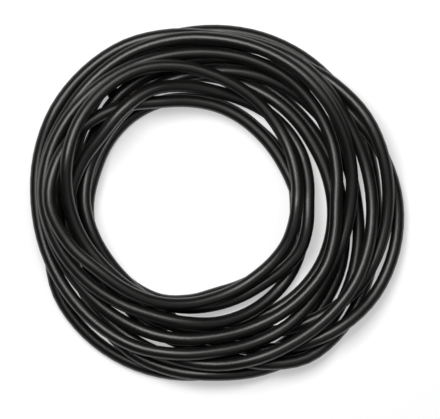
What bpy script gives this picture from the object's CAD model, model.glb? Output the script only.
# %% [markdown]
# # A soaker hose, put away in a loose pile
#
# A soaker hose is one long tube of black recycled rubber. It has a swivel nut at
# the end that meets the tap and a screw cap at the far end, and water sweats out
# through its wall. Here it lies as someone left it: thirteen loops dropped on
# each other, with both ends under the pile.
#
# This lesson first finds where every loop comes to rest, then carries a round
# section along that line, and then makes the rubber, the brass and the light.

# %% Tools
import math

import bpy
import numpy as np
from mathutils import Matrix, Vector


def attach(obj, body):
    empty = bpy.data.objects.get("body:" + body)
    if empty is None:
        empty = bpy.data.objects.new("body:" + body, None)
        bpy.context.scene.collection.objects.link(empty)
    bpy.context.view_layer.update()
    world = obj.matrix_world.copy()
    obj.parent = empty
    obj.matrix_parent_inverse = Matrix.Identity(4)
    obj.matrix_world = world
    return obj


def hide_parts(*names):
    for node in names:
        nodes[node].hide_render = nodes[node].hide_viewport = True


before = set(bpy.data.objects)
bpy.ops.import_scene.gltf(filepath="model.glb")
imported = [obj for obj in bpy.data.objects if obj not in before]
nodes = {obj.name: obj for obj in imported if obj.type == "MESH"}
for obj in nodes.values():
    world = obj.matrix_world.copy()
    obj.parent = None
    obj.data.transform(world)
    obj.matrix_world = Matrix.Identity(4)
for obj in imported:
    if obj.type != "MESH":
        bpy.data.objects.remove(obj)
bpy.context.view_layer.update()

# %% [markdown]
# ## Sizes
#
# The construction works in millimetres and Blender in metres, so every length
# below is written in millimetres and multiplied once. A 5/8 inch hose is 16 mm
# across outside and 10 mm inside. Both ends lie level, their axes high enough
# for the nut and the cap to clear the ground. The inlet lies a little outside
# the coil's mean circle, and the outlet a little inside it.

# %% Sizes of the hose and its ends
MM = 0.001
HOSE_D = 16 * MM
BORE_D = 10 * MM
COIL_R = 180 * MM
INLET_OUT = 26
OUTLET_IN = 4
INLET_R = COIL_R + INLET_OUT * MM
OUTLET_R = COIL_R - OUTLET_IN * MM
NUT_D = 31 * MM
NUT_THREAD_D = 24.7 * MM
CAP_D = 30 * MM
AXIS_Z = NUT_D / 2 + 0.5 * MM
FLOOR_Z = HOSE_D / 2 - HOSE_D / 10
PILE_CENTRE = np.array([-0.4, -0.7, 0.0]) * MM
FIRST_ANGLE = math.pi
LAST_ANGLE = math.radians(120)
print("hose", HOSE_D, "m across, coil radius", COIL_R)

# %% [markdown]
# ## The loops as they were thrown
#
# Every loop starts on the left, at 180 degrees, and runs counter-clockwise. A
# number says how far the hose lies outside or inside the mean circle, every 30
# degrees. A list of plain offsets is easier to read and to change than points in
# space, because the turning itself comes from a formula.

# %% Offsets of each loop, bottom to top as thrown
LOOPS = [
    [INLET_OUT, 46, 41, 29, 16, 5, -18, -24, -20, 0, 10, 19],
    [22, 20, 34, 29, 29, 6, -12, -14, -11, -8, -1, 5],
    [5, -9, -20, -2, 29, 51, 48, 28, 12, 4, 5, 9],
    [17, -7, -27, -57, -65, -67, -74, -73, -68, -45, -16, 4],
    [9, -2, 3, 12, 44, 33, 20, 23, 24, 25, 28, 29],
    [27, 24, 24, 23, 20, 22, 17, 14, 20, 19, 36, 38],
    [34, 32, 26, 7, -2, -14, -10, 4, 16, 23, 32, 34],
    [31, 18, 3, -12, -14, -16, -26, -13, 2, 11, 23, 31],
    [32, 8, -20, -26, -42, -59, -74, -78, -68, -46, -21, 22],
    [34, -5, -29, -56, -71, -74, -74, -67, -48, -18, 18, 27],
    [16, -7, -25, -48, -63, -63, -71, -60, -48, -36, -8, -2],
    [10, -11, -18, -18, -1, 22, 28, 25, 14, 17, 30, 20],
    [12, 8, -9, -21, -20, -21, -26, -31, -25, -16, -OUTLET_IN],
]
LOOP_ORDER = np.array([1, 2, 5, 1.5, 4, 7, 8, 9, 10, 12, 11, 6, 3])
PER_LOOP = 24
TURN = 2 * math.pi / PER_LOOP


def thrown_radii(loops):
    """Catmull-Rom curve through the offsets, two rings to each: half of (2b + (c - a) t +
    (2a - 5b + 4c - d) t^2 + (3b - a - 3c + d) t^3) between neighbours b and c."""
    k = COIL_R + MM * np.concatenate([np.array(row, float) for row in loops])
    k = np.concatenate([k[:1], k, k[-1:], k[-1:]])
    ring = np.arange(2 * (len(k) - 4) + 1)
    i, t = ring // 2, (ring % 2) / 2
    a, b, c, d = k[i], k[i + 1], k[i + 2], k[i + 3]
    bend = (2 * a - 5 * b + 4 * c - d) * t**2 + (3 * b - a - 3 * c + d) * t**3
    return (2 * b + (c - a) * t + bend) / 2


THROWN = thrown_radii(LOOPS)
RINGS = len(THROWN)
ANGLES = FIRST_ANGLE + TURN * np.arange(RINGS)
ORDER = LOOP_ORDER[np.arange(RINGS) // PER_LOOP]
print("rings", RINGS, "loops", round(RINGS / PER_LOOP, 2))

# %% [markdown]
# ## Letting the pile settle
#
# Thrown loops can't pass through each other. A physics engine could drop the
# hose, but each run would take minutes and the knots it ties are hard to steer.
# Relaxing is quicker: wherever two loops are closer than a hose's width they
# push apart, and this is repeated a few hundred times. Loops that run side by
# side may slide sideways or climb. Where they cross, only up and down is
# allowed, so a loop never slips past the one it lies on.

# %% Which stretches can touch
SLACK = 2.75 * MM
SPACING = HOSE_D + SLACK
REACH = 2 * HOSE_D


def outer_side(i, j):
    """Sign of how much further out ring i was thrown than ring j."""
    last = RINGS - 1
    return np.sign(THROWN[np.clip(i, 0, last)] - THROWN[np.clip(j, 0, last)])


def near_pairs(span):
    """Pairs (upper, lower) at the same angle and thrown within reach, for rings (span 0) or
    for the stretches from a ring to the next (span 1), and whether they cross there."""
    j, i = np.triu_indices(RINGS - span, 1)
    close = np.abs(THROWN[i] - THROWN[j]) < REACH
    if span:
        close |= np.abs(THROWN[i + 1] - THROWN[j + 1]) < REACH
    keep = close & ((i - j) % PER_LOOP == 0)
    i, j = i[keep], j[keep]
    swap = ORDER[i] < ORDER[j]
    i, j = np.where(swap, j, i), np.where(swap, i, j)
    cross = outer_side(i, j) != outer_side(i + 1, j + 1)
    if not span:
        cross |= outer_side(i, j) != outer_side(i - 1, j - 1)
    return i, j, cross


RING_PAIRS = near_pairs(0)
SPAN_PAIRS = near_pairs(1)
print("pairs beside each other:", len(RING_PAIRS[0]), "crossings:", int(RING_PAIRS[2].sum()))

# %% Room for the couplings under the loops
SHOULDER = 0.8
MATE_ROOM = 0.9
BLOCK_GAP = 1 * MM
LARGEST_LIFT = 12 * MM
BLOCKS = [
    (FIRST_ANGLE - TURN / 2, FIRST_ANGLE, INLET_R, SHOULDER * NUT_D / 2),
    (FIRST_ANGLE - TURN, FIRST_ANGLE, INLET_R, NUT_D / 2),
    (FIRST_ANGLE - 1.5 * TURN, FIRST_ANGLE, INLET_R, MATE_ROOM * NUT_THREAD_D / 2),
    (FIRST_ANGLE - 2 * TURN, FIRST_ANGLE, INLET_R, NUT_THREAD_D / 2),
    (LAST_ANGLE + TURN / 2, LAST_ANGLE, OUTLET_R, SHOULDER * CAP_D / 2),
    (LAST_ANGLE + TURN, LAST_ANGLE, OUTLET_R, CAP_D / 2),
]


def at_angle(angles, angle):
    """True where angles equal angle, whole turns apart."""
    return np.cos(angles - angle) > math.cos(TURN / 10)


def pair_push(dr, dz, cross):
    """Half of what is missing to SPACING, along the line between two centres. Where they
    cross it is the rise sqrt(SPACING^2 - dr^2) - dz, straight up."""
    gap = np.maximum(np.hypot(dr, dz), MM / 1000)
    short = np.maximum(SPACING - gap, 0) / 2
    rise = np.sqrt(np.maximum(SPACING**2 - dr**2, 0)) - dz
    rise = np.where(np.abs(dr) < SPACING, np.clip(rise, 0, LARGEST_LIFT), 0) / 2
    return (
        np.where(cross, 0, short * dr / gap),
        np.where(cross, rise, short * dz / gap),
        np.where(cross, rise > 0, short > 0),
    )


def block_push(r, z, where, block_r, centre_r):
    """All of what is missing between a loop and a coupling, away from its axis."""
    dr, dz = r - centre_r, z - AXIS_Z
    gap = np.maximum(np.hypot(dr, dz), MM / 1000)
    short = np.where(where, np.maximum(block_r + SPACING / 2 + BLOCK_GAP - gap, 0), 0)
    return short * dr / gap, short * dz / gap, short > 0


# %% [markdown]
# ## Settling numbers
#
# Early passes are lively: the weight pulls each ring down and the hose springs
# back towards where it was thrown. Both fade between the two calm marks, and the
# last passes only push apart and smooth, so no loop is left inside another.

# %% The settling itself
PASSES = 300
START_LIFT = 6 * MM
GRAVITY = 1.5 * MM
SHARE = 2
PULL_HOME = 0.7
STIFF_SIDEWAYS = 0.1
STIFF_UPWARD = 0.25
LEAST_STIFFNESS = 0.1
CALM_FROM, CALM_TO = 0.1, 0.6


def smoothed(values, share):
    """Each value drawn by share towards the mean of its two neighbours, the ends kept."""
    eased = values.copy()
    eased[1:-1] += share * ((values[:-2] + values[2:]) / 2 - values[1:-1])
    return eased


def settle():
    """Radii and heights after the passes: pushes, shared where several meet, then stiffness
    (each drift drawn to its neighbours' mean), a pull home, weight, and the floor."""
    held = np.zeros(RINGS, bool)
    held[[0, -1]] = True
    r = THROWN.copy()
    z = np.where(held, AXIS_Z, FLOOR_Z + START_LIFT * ORDER)
    for step in range(PASSES):
        live = min(max((CALM_TO - step / PASSES) / (CALM_TO - CALM_FROM), 0), 1)
        total = np.zeros((3, RINGS))
        for span, (i, j, cross) in enumerate((RING_PAIRS, SPAN_PAIRS)):
            r_s = (r[:-1] + r[1:]) / 2 if span else r
            z_s = (z[:-1] + z[1:]) / 2 if span else z
            dr, dz, some = pair_push(r_s[i] - r_s[j], z_s[i] - z_s[j], cross)
            part = np.zeros((3, len(r_s)))
            for side, ring in ((1, i), (-1, j)):
                np.add.at(part[0], ring, side * dr)
                np.add.at(part[1], ring, side * dz)
                np.add.at(part[2], ring, some)
            angles = ANGLES[: len(r_s)] + span * TURN / 2
            for angle, start, axis_r, block_r in BLOCKS:
                centre_r = axis_r / math.cos(angle - start)
                part += block_push(r_s, z_s, at_angle(angles, angle), block_r, centre_r)
            total[:, : len(r_s)] += part
            if span:
                total[:, 1:] += part
        share = SHARE / np.maximum(total[2], SHARE)
        drift = smoothed(r + total[0] * share - THROWN, STIFF_SIDEWAYS)
        lift = smoothed(z + total[1] * share, STIFF_UPWARD * max(live, LEAST_STIFFNESS))
        r = np.where(held, r, THROWN + drift * (1 - PULL_HOME * live))
        z = np.where(held, z, np.maximum(lift - GRAVITY * live, FLOOR_Z))
    return r, z


rest_r, rest_z = settle()
print("top of the pile:", round(float(rest_z.max() + HOSE_D / 2), 4), "m")

# %% [markdown]
# ## The line of the hose
#
# The rings are far apart, so a smooth curve is drawn through them before the
# hose is made. Catmull-Rom is used again, because it passes through every ring
# and keeps the bends even. At both ends the hose runs straight into its ferrule.

# %% Centreline in metres
FERRULE_L = 18 * MM
FREE_RUN = HOSE_D
HOSE_END = FREE_RUN + FERRULE_L
FINE = 4


def heading(angle):
    """Level unit vector at an angle from +X."""
    return np.array([math.cos(angle), math.sin(angle), 0.0])


def smooth_line(points, steps):
    """Catmull-Rom curve through points, steps to each gap, ends mirrored."""
    p = np.vstack([2 * points[0] - points[1], points, 2 * points[-1] - points[-2]])
    t = (np.arange(steps) / steps)[None, :, None]
    a, b, c, d = (p[k : len(p) - 3 + k, None, :] for k in range(4))
    bend = (2 * a - 5 * b + 4 * c - d) * t**2 + (3 * b - a - 3 * c + d) * t**3
    curve = (2 * b + (c - a) * t + bend) / 2
    return np.vstack([curve.reshape(-1, 3), points[-1]])


def run(start, way, lengths):
    """Points at the given lengths from start along way."""
    return start + np.array(lengths)[:, None] * way


rest = np.stack([rest_r * np.cos(ANGLES), rest_r * np.sin(ANGLES), rest_z], 1) + PILE_CENTRE
INLET_WAY = heading(FIRST_ANGLE - math.pi / 2)
OUTLET_WAY = heading(LAST_ANGLE + math.pi / 2)
INLET_AT, OUTLET_AT = rest[0], rest[-1]
tail_in = run(INLET_AT, INLET_WAY, [HOSE_END, FREE_RUN, FREE_RUN / 2])
tail_out = run(OUTLET_AT, OUTLET_WAY, [FREE_RUN / 2, FREE_RUN, HOSE_END])
line = np.vstack([tail_in, smooth_line(rest, FINE), tail_out])
arc = np.concatenate([[0], np.cumsum(np.linalg.norm(np.diff(line, axis=0), axis=1))])
print("centreline", round(float(arc[-1]), 3), "m in", len(line), "points")

# %% [markdown]
# ## The camera
#
# The pile is looked at from straight above. The camera stands far away with a
# long lens, so the upper loops hardly grow against the lower ones.

# %% Camera
IMAGE_W = 440
VIEW_W = 554.4 * MM
VIEW_CENTRE = np.array([3.8, -8.2, 0.0]) * MM + PILE_CENTRE
CAMERA_UP = 5.0
MIDDLE_Z = 45 * MM
SENSOR_W = 36

camera_data = bpy.data.cameras.new("camera")
camera_data.sensor_width = SENSOR_W
camera_data.lens = SENSOR_W * (CAMERA_UP - MIDDLE_Z) / VIEW_W
camera_data.clip_end = 50
camera = bpy.data.objects.new("camera", camera_data)
camera.location = (VIEW_CENTRE[0], VIEW_CENTRE[1], CAMERA_UP)
bpy.context.scene.collection.objects.link(camera)
bpy.context.scene.camera = camera
print("one image point is", round(VIEW_W / IMAGE_W / MM, 3), "mm")

# %% [markdown]
# ## The hose as one tube
#
# The hose is a round section carried along the line. Outside and bore are one
# closed surface: the rows of the outer wall run to the far end, then the rows of
# the bore run back. A curve with a bevel would be quicker to write, but it has
# no bore and no map of its own for the rubber's fine lines. Underneath, the
# section is cut off level, because soft rubber lies flat where it rests.

# %% Surfaces on a grid
def grid_mesh(name, points, uv=None):
    """Mesh of a grid of points, rows by columns, that closes on itself both ways. Each face
    joins a point to the next row and the next column. uv(row, column) places its corners."""
    rows, cols = points.shape[:2]
    i, j = np.meshgrid(np.arange(rows), np.arange(cols), indexing="ij")
    di, dj = np.array([0, 1, 1, 0]), np.array([0, 0, 1, 1])
    row, col = i[..., None] + di, j[..., None] + dj
    corners = (row % rows) * cols + col % cols
    mesh = bpy.data.meshes.new(name)
    mesh.from_pydata(points.reshape(-1, 3), [], corners.reshape(-1, 4))
    if uv is not None:
        layer = mesh.uv_layers.new(name="map")
        layer.data.foreach_set("uv", np.stack(uv(row, col), -1).astype(np.float32).ravel())
    mesh.polygons.foreach_set("use_smooth", np.ones(rows * cols, bool))
    mesh.update()
    piece = bpy.data.objects.new(name, mesh)
    bpy.context.scene.collection.objects.link(piece)
    return piece


def tube_rows(path, radius, sides):
    """Round sections along path: centre + radius (cos a * across + sin a * up), with across
    level and up square to across and the path. Nothing goes under the ground."""
    way = np.gradient(path, axis=0)
    way /= np.linalg.norm(way, axis=1, keepdims=True)
    across = np.cross(way, [0, 0, 1])
    across /= np.linalg.norm(across, axis=1, keepdims=True)
    up = np.cross(across, way)
    a = (2 * math.pi * np.arange(sides) / sides - math.pi / 2)[None, :, None]
    rows = path[:, None] + radius * (np.cos(a) * across[:, None] + np.sin(a) * up[:, None])
    rows[..., 2] = np.maximum(rows[..., 2], 0)
    return rows


# %% The hose
SIDES = 24
outer = tube_rows(line, HOSE_D / 2, SIDES)
bore = tube_rows(line, BORE_D / 2, SIDES)
there_and_back = np.concatenate([arc, arc[::-1], arc[:1]])
hose = grid_mesh(
    "soaker_hose",
    np.concatenate([outer, bore[::-1]]),
    lambda row, col: (there_and_back[row], col / SIDES),
)
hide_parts("hose")
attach(hose, "hose_line")
print("hose faces:", len(hose.data.polygons))

# %% [markdown]
# ## The swivel nut
#
# Two things on the nut need more than a turned shape: flutes for the fingers and
# the thread that takes the tap. Both are small moves of a point towards or away
# from the axis, so the nut is one grid of rings, along its outside and back
# through its bore. A boolean with a helix would leave ragged faces, and a bump
# alone would not change the edge of the mouth.

# %% Sizes of the nut
NUT_L = 18 * MM
NUT_BORE_R = NUT_THREAD_D / 2
COLLAR_AND_SLACK = 2.5 * MM
NUT_FROM = HOSE_END + COLLAR_AND_SLACK
CHAMFER = 1 * MM
FLUTES = 16
FLUTE_R = 1.3 * MM
FLUTE_DEPTH = 0.7 * MM
FLUTES_END = NUT_L - 3.5 * MM
PITCH = 25.4 / 11.5 * MM
THREAD_DEPTH = 1.1 * MM
THREAD_FROM = 8.4 * MM
THREAD_TO = NUT_L - CHAMFER
EDGE = 0.12 * MM
WEB_T = 2.2 * MM
WEB_HOLE_R = 7.8 * MM
UNDERCUT_R = NUT_BORE_R + 0.75 * MM
RINGS_PER_PITCH = 12
COLUMNS = 12 * FLUTES
print("thread pitch", round(PITCH / MM, 3), "mm")


# %% Flutes and thread as radii
def bevelled(corners):
    """A closed profile (along, radius) with every corner cut off at EDGE from it."""
    before, after = np.roll(corners, 1, 0) - corners, np.roll(corners, -1, 0) - corners
    before /= np.linalg.norm(before, axis=1, keepdims=True)
    after /= np.linalg.norm(after, axis=1, keepdims=True)
    return np.stack([corners + EDGE * before, corners + EDGE * after], 1).reshape(-1, 2)


def fluted(angle, radius):
    """Radius left by round flutes centred outside it: R + r - depth - sqrt(r^2 - x^2)."""
    step = 2 * math.pi / FLUTES
    x = radius * ((angle + step / 2) % step - step / 2)
    deep = np.sqrt(np.maximum(FLUTE_R**2 - x**2, 0))
    return np.minimum(radius + FLUTE_R - FLUTE_DEPTH - deep, radius)


def groove(angle, along):
    """Depth of a thread: a trapezoid wave of along / pitch - turns, gone at both ends."""
    wave = 2 * np.abs((along / PITCH - angle / (2 * math.pi)) % 1 - 0.5)
    fade = np.minimum(along - THREAD_FROM, THREAD_TO - along) / (PITCH / 2)
    return THREAD_DEPTH * np.clip((0.875 - wave) / 0.75, 0, 1) * np.clip(fade, 0, 1)


# %% The nut
nut_r = NUT_D / 2
outside_and_mouth = [
    (0, WEB_HOLE_R), (0, nut_r - CHAMFER), (CHAMFER, nut_r), (FLUTES_END, nut_r),
    (THREAD_TO, nut_r), (NUT_L, nut_r - CHAMFER), (NUT_L, NUT_BORE_R + CHAMFER),
    (THREAD_TO, NUT_BORE_R)]
inside = [
    (THREAD_FROM, NUT_BORE_R), (THREAD_FROM, UNDERCUT_R), (WEB_T, UNDERCUT_R),
    (WEB_T, WEB_HOLE_R)]
profile = bevelled(np.array(outside_and_mouth + inside))
first_cut = 2 * len(outside_and_mouth)
step = PITCH / RINGS_PER_PITCH
cuts = np.arange(THREAD_TO - step, THREAD_FROM + 2 * EDGE, -step)
threads = np.stack([cuts, np.full(len(cuts), NUT_BORE_R)], 1)
profile = np.vstack([profile[:first_cut], threads, profile[first_cut:]])
angles = 2 * math.pi * np.arange(COLUMNS) / COLUMNS
along = profile[:, :1] + 0 * angles
radius = profile[:, 1:] + 0 * angles
gripped = (radius > UNDERCUT_R) & (along < FLUTES_END)
radius = np.where(gripped, np.minimum(radius, fluted(angles, nut_r)), radius)
cut_rows = slice(first_cut, first_cut + len(cuts))
radius[cut_rows] += groove(angles, along[cut_rows])
across = np.cross(INLET_WAY, [0, 0, 1])
spokes = np.cos(angles)[:, None] * across + np.sin(angles)[:, None] * np.array([0, 0, 1])
rings_at = INLET_AT + (NUT_FROM + along)[..., None] * INLET_WAY
nut = grid_mesh("threaded_nut", rings_at + radius[..., None] * spokes)
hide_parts("swivel_nut")
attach(nut, "nut")
print("nut faces:", len(nut.data.polygons), "in", len(profile), "rings")

# %% [markdown]
# ## Shader maths as plain expressions
#
# Materials are easier to read as sums than as boxes and wires. `Wire` wraps one
# socket, and each arithmetic sign adds the Math node for it. `Paint` starts a
# material and makes any other node in one call.

# %% Wire and Paint
class Wire:
    """A socket that takes part in sums."""

    def __init__(self, paint, socket):
        self.paint, self.socket = paint, socket

    def math(self, operation, *values):
        return self.paint.node("Math", operation=operation, values=values)

    def __add__(self, other):
        return self.math("ADD", self, other)

    def __sub__(self, other):
        return self.math("SUBTRACT", self, other)

    def __rsub__(self, other):
        return self.math("SUBTRACT", other, self)

    def __mul__(self, other):
        return self.math("MULTIPLY", self, other)

    def __pow__(self, other):
        return self.math("POWER", self, other)

    __radd__, __rmul__ = __add__, __mul__


class Paint:
    """One material and its nodes."""

    def __init__(self, name, **sockets):
        self.material = bpy.data.materials.new(name)
        self.material.use_nodes = True
        self.tree = self.material.node_tree
        self.tree.nodes.clear()
        self.shader = self.tree.nodes.new("ShaderNodeBsdfPrincipled")
        out = self.tree.nodes.new("ShaderNodeOutputMaterial")
        self.tree.links.new(self.shader.outputs[0], out.inputs[0])
        self.fill(self.shader, sockets)

    def fill(self, node, sockets):
        for key, value in sockets.items():
            slot = node.inputs[key if isinstance(key, int) else key.replace("_", " ")]
            if isinstance(value, Wire):
                self.tree.links.new(value.socket, slot)
            else:
                slot.default_value = value

    def node(self, kind, output=0, stops=None, values=(), sockets=None, **settings):
        node = self.tree.nodes.new("ShaderNode" + kind)
        for key, value in settings.items():
            setattr(node, key, value)
        if stops:
            ramp = node.color_ramp.elements
            while len(ramp) < len(stops):
                ramp.new(0.5)
            for element, (place, grey) in zip(ramp, stops):
                element.position, element.color = place, (grey, grey, grey, 1)
        self.fill(node, dict(enumerate(values)))
        self.fill(node, sockets or {})
        return Wire(self, node.outputs[output])

    def spot(self):
        """Place on the piece, in metres."""
        return self.node("TexCoord", output=3)

    def noise(self, where, scale, detail):
        return self.node("TexNoise", sockets={"Vector": where, "Scale": scale, "Detail": detail})

    def between(self, share, first, second):
        """Colour from first to second as share goes from 0 to 1."""
        ends = {0: share, 6: (*first, 1), 7: (*second, 1)}
        return self.node("Mix", output=2, data_type="RGBA", sockets=ends)

    def bump(self, height, strength, distance):
        slots = {"Height": height, "Strength": strength, "Distance": distance}
        return self.node("Bump", sockets=slots)

    def end(self, **sockets):
        self.fill(self.shader, sockets)
        return self.material


def paint_piece(piece, material):
    """Gives a piece one material in place of what it had."""
    piece.data.materials.clear()
    piece.data.materials.append(material)


# %% [markdown]
# ## The rubber
#
# The hose is extruded, so it has faint lines along it, and its rubber holds
# ground tyre crumb, which leaves a fine grain and a few duller patches. The
# lines come from noise on a circle: the hose's map goes round from 0 to 1, and
# its cosine and sine meet without a seam. The grain is noise in space.

# %% Rubber of the hose
RUBBER = (0.003, 0.0029, 0.0028)
CRUMB_GREY = (0.005, 0.0048, 0.0045)
RUBBER_GLOSS = 0.42
RUBBER_ROUGH = 0.29


def rubber():
    p = Paint("hose_rubber", Specular_IOR_Level=RUBBER_GLOSS, Specular_Tint=(1, 0.99, 0.97, 1))
    spot = p.spot()
    uv = p.node("TexCoord", output=2)
    along = p.node("SeparateXYZ", output=0, values=[uv])
    around = p.node("SeparateXYZ", output=1, values=[uv]) * (2 * math.pi)
    ring = p.node(
        "CombineXYZ",
        values=[around.math("COSINE", around), around.math("SINE", around), along * 0.6],
    )
    lines = p.noise(ring, 9.0, 3.0)
    crumb = p.noise(spot, 1400.0, 2.0)
    patch = p.noise(spot, 26.0, 4.0)
    shade = p.node("ValToRGB", stops=[(0.3, 0.0), (0.7, 1.0)], values=[patch])
    return p.end(
        Base_Color=p.between(shade, RUBBER, CRUMB_GREY),
        Roughness=RUBBER_ROUGH + patch * 0.1 + crumb * 0.06,
        Normal=p.bump(lines * 0.5 + crumb * 0.12, 0.16, 0.4 * MM),
    )


paint_piece(hose, rubber())

# %% [markdown]
# ## Brass, washers and plastic
#
# The stems and the nut are turned on a lathe, which leaves fine rings round the
# axis, and the ferrules are pressed from sheet. One brass serves all: it reads
# the distance along and from the axis of its coupling, and noise over those two
# numbers alone gives rings. The washers, the disc and the cap are moulded, so
# they have a fine even grain.

# %% Brass turned about an axis
def about_axis(p, at, way):
    """Distances along the level axis through at, and from it, in metres."""
    turned = p.node("Mapping", vector_type="TEXTURE", values=[p.spot()], sockets={
        "Location": tuple(at), "Rotation": (0, 0, math.atan2(way[1], way[0]))})
    x, y, z = (p.node("SeparateXYZ", output=k, values=[turned]) for k in range(3))
    return x, (y * y + z * z) ** 0.5


def brass(name, at, way, colour, rough):
    p = Paint(name, Metallic=1.0)
    along, out = about_axis(p, at, way)
    rings = p.node("CombineXYZ", values=[along * 900, out * 900])
    marks = p.noise(rings, 1.0, 4.0)
    tarnish = p.noise(p.spot(), 160.0, 5.0)
    dull = tuple(0.62 * c for c in colour)
    return p.end(
        Base_Color=p.between(tarnish, colour, dull),
        Roughness=rough + tarnish * 0.2,
        Normal=p.bump(marks, 0.25, 0.2 * MM),
    )


def moulded(name, colour, rough, grain):
    """Plastic or washer rubber: an even grain and slightly uneven gloss."""
    p = Paint(name)
    fine = p.noise(p.spot(), 1800.0, 2.0)
    broad = p.noise(p.spot(), 90.0, 3.0)
    light = tuple(min(1, 1.25 * c) for c in colour)
    return p.end(
        Base_Color=p.between(broad, colour, light),
        Roughness=rough + broad * 0.15,
        Normal=p.bump(fine, grain, 0.2 * MM),
    )


# %% Finish of each small piece
BRASS = (0.66, 0.45, 0.19)
SHEET_BRASS = (0.6, 0.41, 0.18)
WASHER_BLACK = (0.02, 0.02, 0.02)
DISC_WHITE = (0.62, 0.61, 0.56)
CAP_BLACK = (0.018, 0.019, 0.0185)
for end, at, way in (("inlet", INLET_AT, INLET_WAY), ("outlet", OUTLET_AT, OUTLET_WAY)):
    turned = brass(end + "_turned_brass", at, way, BRASS, 0.22)
    paint_piece(nodes[end + "_stem"], turned)
    paint_piece(nodes[end + "_ferrule"], brass(end + "_sheet_brass", at, way, SHEET_BRASS, 0.3))
    if end == "inlet":
        paint_piece(nut, turned)
washer_rubber = moulded("washer_rubber", WASHER_BLACK, 0.6, 0.2)
paint_piece(nodes["inlet_washer"], washer_rubber)
paint_piece(nodes["cap_washer"], washer_rubber)
paint_piece(nodes["flow_disc"], moulded("disc_plastic", DISC_WHITE, 0.4, 0.1))
paint_piece(nodes["end_cap"], moulded("cap_plastic", CAP_BLACK, 0.38, 0.25))
print("materials:", len(bpy.data.materials))

# %% [markdown]
# ## Ground and light
#
# The pile lies on white paper under a large soft lamp at the upper left, with
# two weaker ones at the right. To the camera, and in the brass, the paper shows
# part of its light as an even glow, so its shadows stay pale and the open paper
# reads as white. A brighter lamp would whiten it too, but wash the rubber out.

# %% White ground
def paper():
    p = Paint("white_paper")
    to_camera, mirrored = p.node("LightPath", output=0), p.node("LightPath", output=3)
    seen = to_camera.math("MAXIMUM", to_camera, mirrored)
    diffuse = p.node("BsdfDiffuse", sockets={"Color": PAPER_WHITE - seen * SHOWN_LESS})
    glow = p.node("Emission", sockets={"Color": (1, 1, 1, 1), "Strength": seen * PAPER_GLOW})
    both = p.node("AddShader", values=[diffuse, glow])
    out = next(n for n in p.tree.nodes if n.bl_idname == "ShaderNodeOutputMaterial")
    p.tree.links.new(both.socket, out.inputs[0])
    p.tree.nodes.remove(p.shader)
    return p.material


PAPER_WHITE = 0.8
SHOWN_LESS = 0.22
PAPER_GLOW = 0.44
GROUND_HALF = 30.0
ground_mesh = bpy.data.meshes.new("ground")
corner = [(-1, -1), (1, -1), (1, 1), (-1, 1)]
ground_mesh.from_pydata([(x * GROUND_HALF, y * GROUND_HALF, 0) for x, y in corner], [], [range(4)])
ground = bpy.data.objects.new("ground", ground_mesh)
bpy.context.scene.collection.objects.link(ground)
ground.data.materials.append(paper())

# %% Lamps
def lamp(name, place, size, power, aim=(0, 0, 0)):
    """A soft square lamp at place, pointing at aim, unseen by the camera."""
    data = bpy.data.lights.new(name, "AREA")
    data.shape, data.size, data.energy = "SQUARE", size, power
    light = bpy.data.objects.new(name, data)
    back = Vector(place) - Vector(aim)
    light.location = place
    light.rotation_mode = "QUATERNION"
    light.rotation_quaternion = back.to_track_quat("Z", "Y")
    light.visible_camera = False
    bpy.context.scene.collection.objects.link(light)
    return light


lamp("key", (-0.42, 0.6, 2.0), 1.0, 45.0)
lamp("side", (0.8, 0.8, 2.0), 1.0, 8.0)
lamp("fill", (0.9, -0.9, 1.9), 1.8, 5.0)

world = bpy.data.worlds.new("world")
bpy.context.scene.world = world
world.use_nodes = True
sky = world.node_tree.nodes["Background"]
sky.inputs["Color"].default_value = (1, 1, 1, 1)
sky.inputs["Strength"].default_value = 0.03
bpy.context.scene.view_settings.view_transform = "Standard"
